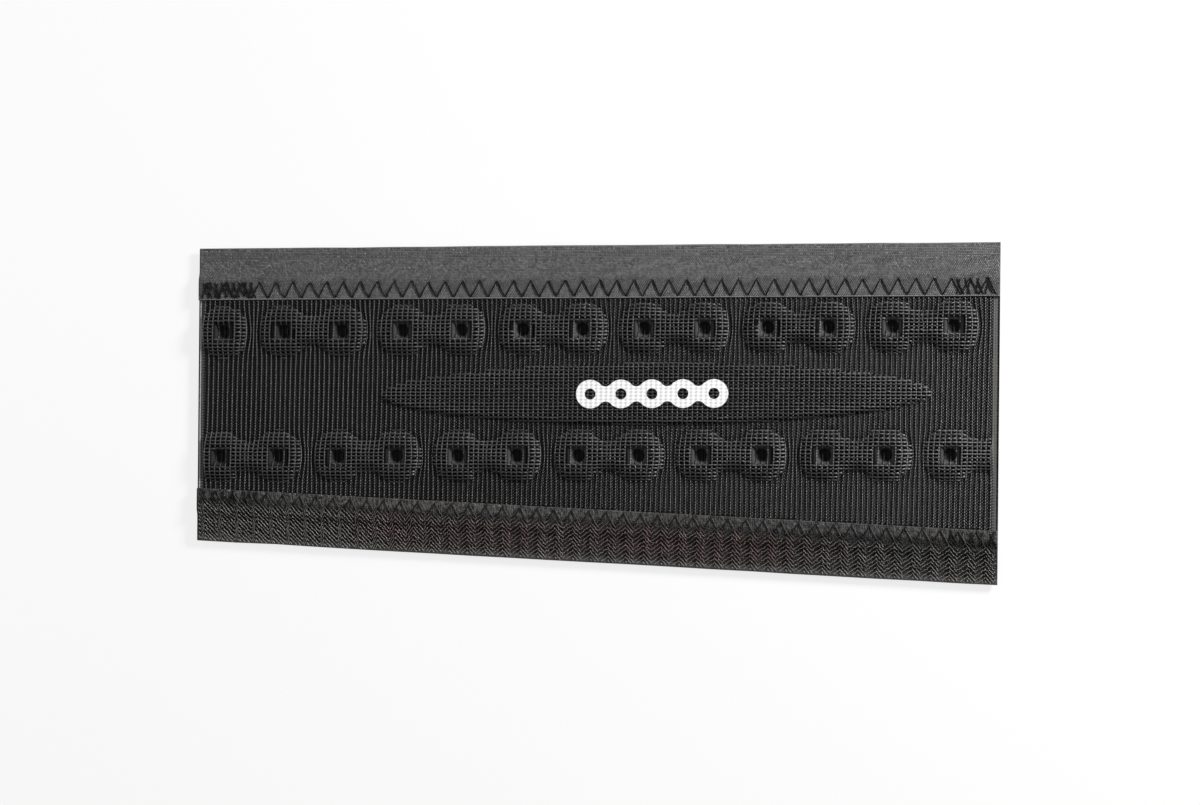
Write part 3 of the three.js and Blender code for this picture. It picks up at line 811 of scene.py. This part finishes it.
def make_pad(ground_finish, foam_finish, lining_finish):
    ends = np.array([0, 0.12, 0.35, 0.8, 1.3, 1.6, 1.8, 1.95])
    reach = LENGTH / 2 - 2.3
    middle = np.linspace(-reach, reach, 545)
    along = np.concatenate([ends - LENGTH / 2, middle, (LENGTH / 2 - ends)[::-1]])
    hidden = [PAD_INSET, 12.5, 14.5, 16.2]
    x, y = pad_rows(along, hidden, STRIP_WIDTH, np.linspace(0, 1, 141))
    edge = from_end(x, y)
    pressed = 1 - smooth_step(edge, END_STRIP - 0.25, END_STRIP + 0.15)
    pressed[: len(hidden)] = 1
    pressed[-len(hidden) :] = 1
    link, oval, pocket = relief(x, y)[:3]
    top = ground(x, y) * (1 - pressed) + BORDER_TOP * pressed
    top -= 0.2 * (1 - smooth_step(edge, 0, 0.35))
    raised = np.clip(2 * np.maximum(link, oval), 0, 1) * (1 - pressed)

    back_along = np.linspace(-LENGTH / 2, LENGTH / 2, 127)
    border = [PAD_INSET, 13.0, STRIP_WIDTH, 16.9, 17.25, 17.6, 18.0]
    lifts = [1, 1, 1, 0.8, 0.5, 0.2, 0]
    level = np.linspace(0, 1, 18)[1:-1]
    back_x, back_y = pad_rows(back_along, border, STRIP_WIDTH + PRESS_SLOPE, level)
    heights = np.concatenate([lifts, 0 * level, lifts[::-1]]) * BORDER_LIFT
    back_z = heights[:, None] + 0 * back_x

    grids = (x, y, top), (back_x, back_y, back_z)
    points = np.concatenate([np.stack(grid, -1).reshape(-1, 3) for grid in grids])
    index = np.arange(x.size).reshape(x.shape)
    back_index = x.size + np.arange(back_x.size).reshape(back_x.shape)
    face_quads = grid_faces(index)
    back_quads = [quad[::-1] for quad in grid_faces(back_index)]
    walls = [
        np.concatenate([index[:, 0], back_index[::-1, 0]]).tolist(),
        np.concatenate([back_index[:, -1], index[::-1, -1]]).tolist(),
        np.concatenate([back_index[0], index[0, ::-1]]).tolist(),
        np.concatenate([index[-1], back_index[-1, ::-1]]).tolist(),
    ]
    pad = mesh_object("pad_body", points, face_quads + walls + back_quads)
    for material in (ground_finish, foam_finish, lining_finish):
        pad.data.materials.append(material)
    kinds = [0] * len(face_quads) + [1] * len(walls) + [2] * len(back_quads)
    pad.data.polygons.foreach_set("material_index", kinds)
    pad.data.polygons.foreach_set("use_smooth", [kind != 1 for kind in kinds])
    facts = {"raised": raised, "pocket": np.minimum(2 * pocket, 1), "edge": np.minimum(edge, 4)}
    for name, values in facts.items():
        add_attribute(pad, name, "FLOAT", np.concatenate([values.ravel(), np.zeros(back_x.size)]))
    dress(pad, "pad")


def rib_line(index, y):
    return FIRST_RIB_X + index * RIB_PITCH + RIB_SLOPE * (y - LEAN_PIVOT_Y)


def rib_count():
    return int((2 * -FIRST_RIB_X) / RIB_PITCH) + 1


def make_ribs(finish):
    paths, widths, raised = [], [], []
    for index in range(rib_count()):
        x = rib_line(index, LEAN_PIVOT_Y)
        low = place(LOWER, np.array(x), STRIP_WIDTH)[1] + 0.15
        high = UPPER_EDGE_Y - STRIP_WIDTH - 0.15
        y = np.linspace(low, high, int((high - low) / 0.3))
        flat_x = rib_line(index, y)
        varied = np.abs(np.gradient(ground(flat_x, y))) > 0.02
        wanted = varied | (np.arange(len(y)) % 5 == 0)
        wanted[0] = wanted[-1] = True
        flat_x, y = flat_x[wanted], y[wanted]
        inside = from_end(flat_x, y) > END_STRIP + 0.2
        if inside.sum() < 4:
            continue
        moved_x, moved_y = stretched(flat_x[inside], y[inside])
        z = ground(moved_x, moved_y) + RIB_HEIGHT - RIB_THICKNESS / 2
        moved_y[0], moved_y[-1] = y[inside][0], y[inside][-1]
        link, oval, pocket = relief(moved_x, moved_y)[:3]
        paths.append(np.stack([moved_x, moved_y, z], 1))
        raised.append(np.maximum(link, oval))
        widths.append(1 + 0.28 * raised[-1] * (1 - pocket))
    # painted highlight on right-facing slopes, painted shadow at the links' feet and painted highlight just
    # inside their outlines
    shine = [shoulder(path[:, 0], path[:, 1]) for path in paths]
    rims = [link_shade_and_rim_light(path[:, 0], path[:, 1]) for path in paths]
    facts = {"radius": widths, "raised": raised, "shine": shine}
    facts.update(foot=[rim[0] for rim in rims], rim=[rim[1] for rim in rims])
    ribs = cords("face_ribs", paths, RIB_WIDTH, RIB_THICKNESS, finish, sides=6, facts=facts)
    dress(ribs)


def make_bars(finish):
    """The cross bars that close the ribs of a raised form into a grid."""
    rows = np.arange(-FIELD_REACH, FIELD_REACH, BAR_PITCH)
    index = np.arange(rib_count()) + 0.5
    gap, row = np.meshgrid(index, rows)
    flat_x = rib_line(gap, row)
    half = RIB_PITCH / 2
    x, y = stretched(flat_x, row)
    ends = [stretched(flat_x + side * half, row) for side in (-1, 1)]
    kept = (from_end(x, y) > END_STRIP + 0.5) & (np.abs(y - place(UPPER, x, STRIP_WIDTH)[1]) > 0.5)
    pin_across, pin_height = np.abs(nearest_pin(*to_pattern(x, y)))
    open_pocket = np.where(pin_height < 2.4, 0.3, 0.62)
    overhang = np.where(pin_across < 4.5, 0.4, 0.0)
    for end_x, end_y in (*ends, (x, y)):
        kept &= relief(end_x, end_y)[2] < open_pocket
    kept &= (link_distance(*to_pattern(x, y)) < overhang) | (relief(x, y)[1] > 0.05)
    (left_x, left_y), (right_x, right_y) = [(a[kept], b[kept]) for a, b in ends]
    left_z, right_z = ground(left_x, left_y), ground(right_x, right_y)
    run = np.hypot(right_x - left_x, right_y - left_y)
    points = np.stack([left_x + right_x, left_y + right_y, left_z + right_z], 1) / 2 + (0, 0, 0.13)
    rng = np.random.default_rng(3)
    points[:, 1] += rng.normal(0, 0.05, run.shape)
    skew = rng.normal(0.03, 0.07, run.shape)
    heading = skew + np.arctan2(right_y - left_y, right_x - left_x)
    turns = [0 * run, -np.arctan2(right_z - left_z, run), heading]
    reach = np.hypot(run, right_z - left_z) / RIB_PITCH
    sizes = np.stack([reach, 1 + 0 * run, 1 + 0 * run], 1)
    # shine is a painted highlight on slopes that face right
    facts = {"raised": 1 + 0 * run, "shine": shoulder(x[kept], y[kept])}
    bars = scatter("cross_bars", points, np.stack(turns, 1), sizes, bar_form(), finish, facts)
    dress(bars)


def bar_form():
    """A short half-round bar that runs from one rib into the next."""
    x, y, z = RIB_PITCH / 2, 0.31, 0.26
    ends = [(-x, -y, -z), (-x, -y * 0.75, z * 0.6), (-x, 0, z), (-x, y * 0.75, z * 0.6), (-x, y, -z)]
    points = ends + [(-px, py, pz) for px, py, pz in ends]
    faces = [(i, (i + 1) % 5, 5 + (i + 1) % 5, 5 + i) for i in range(5)]
    return mesh_object("bar", points, faces + [(0, 1, 2, 3, 4), (5, 6, 7, 8, 9)], closed=True)


def make_knit_dots(finish):
    """The small stitches that show in two staggered columns between the ribs of the flat field."""
    rng = np.random.default_rng(5)
    dots = []
    for side in (-1, 1):
        rows = np.arange(-FIELD_REACH, FIELD_REACH, KNIT_PITCH) + side * KNIT_PITCH / 4
        gap, row = np.meshgrid(np.arange(rib_count()) + 0.5, rows)
        flat_x = rib_line(gap, row) + side * 0.25
        x, y = stretched(flat_x, row)
        link, oval = relief(x, y)[:2]
        low, high = place(LOWER, x, STRIP_WIDTH)[1], place(UPPER, x, STRIP_WIDTH)[1]
        kept = (np.maximum(link, oval) < 0.3) & (from_end(x, y) > END_STRIP + 0.3)
        kept &= (y > low + 0.3) & (y < high - 0.3)
        dots.append(np.stack([x[kept], y[kept], 0 * x[kept] + side], 1))
    x, y, side = np.concatenate(dots).T
    points = np.stack([x, y, ground(x, y)], 1)
    turns = np.stack([0 * x, 0 * x, side * 0.6 + rng.normal(0, 0.15, x.shape) + math.pi / 2], 1)
    sizes = np.stack([1 + rng.normal(0, 0.1, x.shape)] * 3, 1)
    # foot is the painted shadow at the foot of a link
    facts = {"foot": link_shade_and_rim_light(x, y)[0]}
    bead = bead_form(length=0.56, width=0.32, height=0.2)
    dress(scatter("knit_dots", points, turns, sizes, bead, finish, facts))


# Strips


def turn_down(drop, distance):
    return drop * smooth_step(PAD_INSET - np.asarray(distance, float), 0, BEND_WIDTH)


def strip_top(drop, distance):
    return STRIP_TOP - turn_down(drop, distance)


def strip_section(drop):
    """The section of a strip, from its outer edge over its face and back under it."""
    outer = [(0.0, -0.4), (0.05, -0.2), (0.2, -0.06), (0.5, 0.0)]
    steps = (1, 2, 3, 4.5, 6, 7.2, 7.8, 8.4, 9, 9.6, 10.2, 10.8, 12, 13.5, 15, 15.9)
    face = [(d, 0.0) for d in steps]
    inner = [(16.25, -0.05), (16.43, -0.2), (16.5, -0.42), (16.42, -0.66), (16.25, -STRIP_THICKNESS)]
    back = [(d, -STRIP_THICKNESS) for d in (13, 10.5, 9.7, 9.0, 8.2, 7.4, 3, 0.25)]
    points = outer + face + inner + back + [(0.05, -0.6)]
    return [(distance, float(strip_top(drop, distance)) + depth) for distance, depth in points]


def make_strip(name, edge, drop, finish, node, dent_depth):
    section = strip_section(drop)
    dents = [(x, STRIP_WIDTH - d) for x, d in stitch_turns(edge)]
    along = np.linspace(-LENGTH / 2, LENGTH / 2, 337)
    rng = np.random.default_rng(7 + edge)
    wander = np.interp(along, np.linspace(-LENGTH / 2, LENGTH / 2, 21), rng.normal(0, 0.05, 21))
    rings = []
    for distance, z in section:
        x, y = place(edge, along, distance)
        outer_share = 1 - smooth_step(distance, 0, PAD_INSET)
        y = y + edge * wander * outer_share
        sag = np.zeros_like(along)
        for dent_along, dent_distance in dents:
            gap = (along - dent_along) ** 2 + (distance - dent_distance) ** 2
            sag = np.maximum(sag, np.exp(-gap / (2 * DENT_RADIUS**2)))
        on_face = z > strip_top(drop, distance) - 0.1
        rings.append(np.stack([x, y, z - dent_depth * sag * on_face], 1))
    rings = np.array(rings)
    index = np.arange(rings.shape[0] * rings.shape[1]).reshape(rings.shape[:2])
    faces = grid_faces(np.concatenate([index, index[:1]]))
    caps = [index[:, end].tolist() for end in (0, -1)]
    strip = mesh_object(name, rings.reshape(-1, 3), faces + caps, closed=True)
    strip.data.materials.append(finish)
    dress(strip, node)


def make_twill(finish):
    """The floats of the loop tape's twill back."""
    rng = np.random.default_rng(11)
    pitch_along, pitch_across = 0.56, 0.5
    along = np.arange(-LENGTH / 2 + 0.4, LENGTH / 2 - 0.3, pitch_along)
    across = np.arange(0.55, STRIP_WIDTH - 0.4, pitch_across)
    run, distance = np.meshgrid(along, across)
    row = np.round((distance - across[0]) / pitch_across)
    run = run + (row % 2) * pitch_along / 2
    kept = (run < LENGTH / 2 - 0.3) & ~np.isin(row, (2, 4, 6))
    run, distance = run[kept], distance[kept]
    run = run + rng.normal(0, 0.03, run.shape)
    x, y = place(UPPER, run, distance)
    slope = (strip_top(LOOP_DROP, distance + 0.2) - strip_top(LOOP_DROP, distance - 0.2)) / 0.4
    points = np.stack([x, y, strip_top(LOOP_DROP, distance)], 1)
    turns = np.stack([-np.arctan(slope), 0 * x, -0.8 + rng.normal(0, 0.06, x.shape)], 1)
    sizes = np.stack([1 + rng.normal(0, 0.08, x.shape)] * 3, 1)
    tones = {"tone": rng.random(x.shape)}
    bead = bead_form(length=0.66, width=0.32, height=0.12)
    dress(scatter("loop_tape_weave", points, turns, sizes, bead, finish, tones))


def make_selvedge(finish):
    """Fine raised cords along the loop tape's outer edge, where they are paler, and at its inner edge."""
    paths, tones = [], []
    for distance in (0.28, 1.55, 2.55, 3.55, STRIP_WIDTH - 0.3):
        along = np.linspace(-LENGTH / 2 + 0.1, LENGTH / 2 - 0.1, 180)
        x, y = place(UPPER, along, distance)
        z = strip_top(LOOP_DROP, distance) + 0.0 * x
        paths.append(np.stack([x, y, z], 1))
        tones.append(np.full(len(x), 0.56 if distance < 2 else 0.44))
    facts = {"tone": tones}
    width, height = 0.3, 0.24
    selvedge = cords("loop_tape_selvedge", paths, width, height, finish, sides=5, facts=facts)
    dress(selvedge)


def make_pile(finish):
    """The loops under the loop strip."""
    rng = np.random.default_rng(13)
    pitch_along, pitch_across = 1.3, 1.0
    along = np.arange(-LENGTH / 2 + 0.9, LENGTH / 2 - 0.8, pitch_along)
    run, distance = np.meshgrid(along, np.arange(1.8, 8.5, pitch_across))
    run = run + rng.normal(0, 0.15, run.shape)
    distance = distance + rng.normal(0, 0.12, run.shape)
    x, y = place(UPPER, run.ravel(), distance.ravel())
    top = strip_top(LOOP_DROP, distance.ravel()) - STRIP_THICKNESS
    points = np.stack([x, y, top], 1)
    turns = np.stack([rng.normal(0, 0.25, x.shape), 0 * x, rng.uniform(0, TAU, x.shape)], 1)
    deep = (top - 0.05) / 1.15  # from the tape down to the lowest point of a loop of full size
    sizes = np.stack([1 + 0 * x, 1 + 0 * x, deep * rng.uniform(0.85, 1.0, x.shape)], 1)
    angles = np.linspace(-0.9, math.pi + 0.9, 8)
    path = [(0.42 * math.cos(a), -0.68 - 0.46 * math.sin(a)) for a in angles]
    path[0], path[-1] = (0.12, 0.1), (-0.12, 0.1)
    loop = wire_form(path, radius=0.09)
    dress(scatter("loop_pile", points, turns, sizes, loop, finish))


def chevron_arms():
    """The arms of the herringbone: where each starts, how far it runs along and rises, and how far up it
    begins. The climbing arms rise less, and towards the left end they are short and steep."""
    start = -LENGTH / 2 - CHEVRON_LENGTH + 1.4
    for column in range(int(LENGTH / CHEVRON_LENGTH) + 3):
        foot = start + column * CHEVRON_LENGTH
        left = float(smooth_step(-foot, 25, 95))
        climb = CHEVRON_LENGTH * (0.52 - 0.3 * left)
        rise = CHEVRON_RISE * (1 + 0.5 * left)
        broken = rise * 0.26 * (1 - left)
        yield foot, climb, rise - broken, broken / 2, 1
        yield foot + climb, CHEVRON_LENGTH - climb, rise, 0, -1


def scallop(along):
    """Distance from the outer edge at which the hook tape's smooth edge begins, between the stitches."""
    bulge = abs(math.cos((along + LENGTH / 2 - SEAM_START) * math.pi / SEAM_PERIOD))
    return SELVEDGE_START - SCALLOP_DEPTH * bulge


def make_hooks(finish):
    """Bent filament hooks in herringbone rows, shorter towards the outer edge and the seam."""
    rng = np.random.default_rng(17)
    points, turns, sizes, tones = [], [], [], []
    for row in range(HOOK_ROWS):
        base = FIRST_HOOK_ROW + row * CHEVRON_PITCH
        for foot, run, climb, lift, sign in chevron_arms():
            steps = 5 if run < CHEVRON_LENGTH / 3 else 6
            for k in range(steps):
                share = (k + 0.5) / steps
                along = foot + run * share
                distance = base + lift + climb * (share if sign > 0 else 1 - share)
                seam = scallop(along)
                if abs(along) > LENGTH / 2 - 0.5 or not 0.55 < distance < seam - 0.1:
                    continue
                x, y = place(LOWER, np.array(along), distance)
                angle = math.atan2(sign * climb, run) + LOWER_TURN
                length = math.hypot(run, climb) / steps / HOOK_LENGTH
                edge = float(smooth_step(distance, 0.3, 3.4))
                tall = (0.3 + 0.7 * edge) * (1 - 0.5 * float(smooth_step(distance, 10.6, 12.4)))
                # painted shade over the hooks next to the seam, wider and deeper towards the right end
                shade_spread = float(smooth_step(along, 0, 105))
                first, last = seam - 2.4 - 0.8 * shade_spread, seam - 0.5 - 0.9 * shade_spread
                shaded = 1 - (0.75 + 0.25 * shade_spread) * float(smooth_step(distance, first, last))
                # towards the left end, the climbing arms are darker and the falling arms lighter
                left = float(smooth_step(-foot, 25, 95))
                shaded *= 1 - 0.4 * left if sign > 0 else 1 + 0.3 * left
                tone = rng.normal(0.62 + 0.28 * (1 - edge), 0.08 + 0.09 * edge)
                tones.append(np.clip(shaded * tone, 0, 1))
                points.append((float(x), float(y), float(strip_top(HOOK_DROP, distance))))
                turns.append((rng.normal(0, 0.12), rng.normal(0, 0.1), angle + rng.normal(0, 0.09)))
                long = length * (0.86 + rng.normal(0, 0.05))
                sizes.append((long, 1, tall * (0.95 + rng.normal(0, 0.06))))
    path = [(-0.32, -0.1), (-0.33, 0.55), (-0.2, 0.9), (0.06, 1.0), (0.28, 0.84), (0.3, 0.5)]
    hook = wire_form(path, radius=0.15)
    dress(scatter("hook_rows", points, turns, sizes, hook, finish, {"tone": tones}))


# Seams


def stitch_turns(edge):
    """The turns of a seam's zigzag, as places along it and distances from the strip's inner edge."""
    along = np.linspace(SEAM_START - LENGTH / 2, LENGTH / 2 - SEAM_START, 2 * SEAM_PERIODS + 1)
    return [(x, STITCH_INNER if i % 2 == 0 else STITCH_OUTER[edge]) for i, x in enumerate(along)]


def seam_passes(rng, edge, left, right, doubled):
    """The straight stitches of one seam: the zigzag, its doubled strands and the backtacks at its ends,
    which are left and right millimetres long. The last value of each is how pale its thread is."""
    turns = stitch_turns(edge)
    stitches = []
    for i, ((x0, d0), (x1, d1)) in enumerate(zip(turns, turns[1:])):
        pale = 0.8 if edge == LOWER and i % 2 == 0 else 0
        stitches.append((x0, d0 + rng.normal(0, 0.1), x1, d1 + rng.normal(0, 0.1), pale))
        if doubled and i % 2 and rng.random() < 0.6:
            shift = rng.normal(0.42, 0.1)
            stitches.append((x0 + shift, d0 - 1.2, x1 + shift * 0.3, d1 + 0.1, 0))
    left_zone = (SEAM_START - LENGTH / 2, left, 1.9 if edge == UPPER else 3.4)
    right_zone = (LENGTH / 2 - SEAM_START - right, right, 3.0)
    for start, width, pitch in (left_zone, right_zone):
        for x in np.arange(start + 0.3, start + width - 1.6, pitch):
            for steep in (True, False):
                run = rng.uniform(0.7, 1.4) if steep else rng.uniform(1.6, 2.6)
                near = max(STITCH_INNER + rng.normal(0, 0.2), 0.3)
                far = min(STITCH_OUTER[edge] + rng.normal(0, 0.25), 5.9)
                foot = x + rng.normal(0, 0.2)
                first, last = (near, far) if steep == (edge == UPPER) else (far, near)
                stitches.append((foot, first, foot + run, last, 0))
    return stitches


def stitch_paths(stitches, edge, height_at, steps, rng):
    paths = []
    share = np.linspace(0, 1, steps)
    for x0, d0, x1, d1, pale in stitches:
        lift = 0.1 + rng.random() * 0.06
        bow = rng.normal(0, 0.06)
        run = x0 + (x1 - x0) * share + bow * np.sin(math.pi * share)
        run = np.clip(run, 0.4 - LENGTH / 2, LENGTH / 2 - 0.4)
        distance = STRIP_WIDTH - (d0 + (d1 - d0) * share)
        x, y = place(edge, run, distance)
        dive = 0.38 * np.abs(2 * share - 1) ** 9
        paths.append(np.stack([x, y, height_at(distance, lift * np.sin(math.pi * share) - dive)], 1))
    return paths


def make_threads(finish):
    """Both threads of both seams. left and right are how long a seam's backtacks are."""
    seams = [("upper", UPPER, LOOP_DROP, 17.5, 12.5), ("lower", LOWER, HOOK_DROP, 21.0, 14.0)]
    for number, (name, edge, drop, left, right) in enumerate(seams):
        rng = np.random.default_rng(23 + number)
        stitches = seam_passes(rng, edge, left, right, doubled=edge == UPPER)

        def over(distance, lift, drop=drop):
            return strip_top(drop, distance) + THREAD_HEIGHT / 2 + lift

        paths = stitch_paths(stitches, edge, over, 18, rng)
        tones = [np.full(len(path), stitch[-1]) for path, stitch in zip(paths, stitches)]
        section = THREAD_WIDTH, THREAD_HEIGHT, finish
        facts = {"tone": tones}
        needle = cords(f"{name}_needle_stitches", paths, *section, twist=THREAD_TWIST, facts=facts)
        dress(needle, f"{name}_needle_thread")
        stitches = seam_passes(rng, edge, left, 0, doubled=False)
        paths = stitch_paths(stitches, edge, under, 11, rng)
        section = THREAD_WIDTH * 0.8, THREAD_HEIGHT, finish
        bobbin = cords(f"{name}_bobbin_stitches", paths, *section, twist=THREAD_TWIST)
        dress(bobbin, f"{name}_bobbin_thread")


def under(distance, lift):
    """Height of a bobbin thread under the pad's border."""
    return BORDER_LIFT - THREAD_HEIGHT / 2 - lift + 0 * distance


# Print


def arc(x, y, radius, start, end, steps):
    return [(x + radius * math.cos(a), y + radius * math.sin(a)) for a in np.linspace(start, end, steps)]


def make_print(finish):
    """A short length of chain as a plain figure, with a hole in each lobe."""
    lobes = 5
    step = 9.6
    radius = 4.4
    waist = 2.3
    hole = 1.7
    thickness = 0.15
    half = step / 2
    fillet = (half**2 + waist**2 - radius**2) / (2 * (radius - waist))
    turn = math.atan2(waist + fillet, half)
    middles = [(i - (lobes - 1) / 2) * step for i in range(lobes)]
    upper = []
    for i, x in enumerate(middles[::-1]):
        first, last = (0 if i == 0 else turn), (math.pi if i == lobes - 1 else math.pi - turn)
        upper += arc(x, 0, radius, first, last, 24)
        if i < lobes - 1:
            upper += arc(x - half, waist + fillet, fillet, -turn, turn - math.pi, 10)[1:-1]
    outline = upper + [(-x, -y) for x, y in upper[1:-1]]
    holes = [arc(x, 0, hole, 0, TAU, 33)[:-1] for x in middles]
    curve = bpy.data.curves.new("figure", "CURVE")
    curve.dimensions = "2D"
    curve.fill_mode = "BOTH"
    curve.extrude = thickness / 2
    for ring in (outline, *holes):
        spline = curve.splines.new("POLY")
        spline.points.add(len(ring) - 1)
        spline.points.foreach_set("co", np.ravel([(x, y, 0, 1) for x, y in ring]))
        spline.use_cyclic_u = True
    flat = add_object("figure", curve)
    mesh = plain_mesh(flat)
    bpy.data.objects.remove(flat)
    base_z = VALLEY_TOP + RIB_HEIGHT + OVAL_RISE + thickness / 2
    move = Matrix.Translation((0, PATTERN_Y, base_z)) @ Matrix.Rotation(PATTERN_TURN, 4, "Z")
    mesh.transform(Matrix.Scale(MM, 4) @ move @ Matrix.Translation((OVAL_X, 0, 0)))
    point_outwards(mesh, 1e-7)
    mesh.materials.clear()
    mesh.materials.append(finish)
    dress(add_object("printed_chain", mesh), "printed_mark")


# Studio


def make_camera():
    """The camera stands off a point near the middle, turned towards the wide end."""
    distance = 900
    sine = 0.144
    cosine = math.sqrt(1 - sine**2)
    target = Vector((3, 3.4, 3))
    back = Vector((sine, 0, cosine))
    data = bpy.data.cameras.new("camera")
    data.sensor_width = 36
    data.lens = 87.53
    data.clip_start = 0.01
    camera = add_object("camera", data)
    axes = Matrix((Vector((cosine, 0, -sine)), Vector((0, 1, 0)), back)).transposed()
    camera.matrix_world = Matrix.Translation((target + back * distance) * MM) @ axes.to_4x4()
    bpy.context.scene.camera = camera


def make_lamp(name, place_mm, size, watts):
    data = bpy.data.lights.new(name, "AREA")
    data.shape = "DISK"
    data.size = size
    data.energy = watts
    lamp = add_object(name, data)
    lamp.location = Vector(place_mm) * MM
    lamp.rotation_euler = (-lamp.location).to_track_quat("-Z", "Y").to_euler()


def make_studio():
    scene = bpy.context.scene
    scene.view_settings.view_transform = "Standard"
    world = bpy.data.worlds.new("studio")
    scene.world = world
    world.use_nodes = True
    background = world.node_tree.nodes["Background"]
    background.inputs["Color"].default_value = (1, 1, 1, 1)
    background.inputs["Strength"].default_value = 0.26
    make_lamp("right lamp", (600, 400, 360), size=0.2, watts=10.2)
    make_lamp("left lamp", (-620, 160, 330), size=0.5, watts=1.3)
    reach = 20000
    gap = 0.1  # between the floor and the back
    corners = [(x * reach, y * reach, -gap) for x, y in ((-1, -1), (1, -1), (1, 1), (-1, 1))]
    floor = mesh_object("floor", corners, [(0, 1, 2, 3)])
    floor.data.materials.append(whiten_floor(new_finish("floor", paint_floor, specular=0.0)))


make_camera()
make_studio()

rib_yarn = new_finish("rib_yarn", paint_rib_yarn, specular=0.6)
make_pad(
    new_finish("mesh_ground", paint_mesh_ground, specular=0.06),
    new_finish("cut_foam", paint_cut_foam, specular=0.2),
    new_finish("lining", paint_lining, sheen=0.2, specular=0.2),
)
make_ribs(rib_yarn)
make_bars(rib_yarn)
make_knit_dots(new_finish("knit_dot", paint_knit_dot, specular=0.4))

loop_tape = new_finish("loop_tape", paint_loop_tape, sheen=0.2, specular=0.3)
twill_float = new_finish("twill_float", paint_twill_float, sheen=0.15, specular=0.4)
hook_tape = new_finish("hook_tape", paint_hook_tape, sheen=0.1, specular=0.3)
hook_filament = new_finish("hook_filament", paint_hook_filament, specular=0.55)
make_strip("loop_tape_body", UPPER, LOOP_DROP, loop_tape, "loop_strip", 0.2)
make_twill(twill_float)
make_selvedge(twill_float)
make_pile(loop_tape)
make_strip("hook_tape_body", LOWER, HOOK_DROP, hook_tape, "hook_strip", 0.35)
make_hooks(hook_filament)
make_threads(new_finish("sewing_thread", paint_thread, specular=0.2))
make_print(new_finish("white_print", paint_print, specular=0.4))
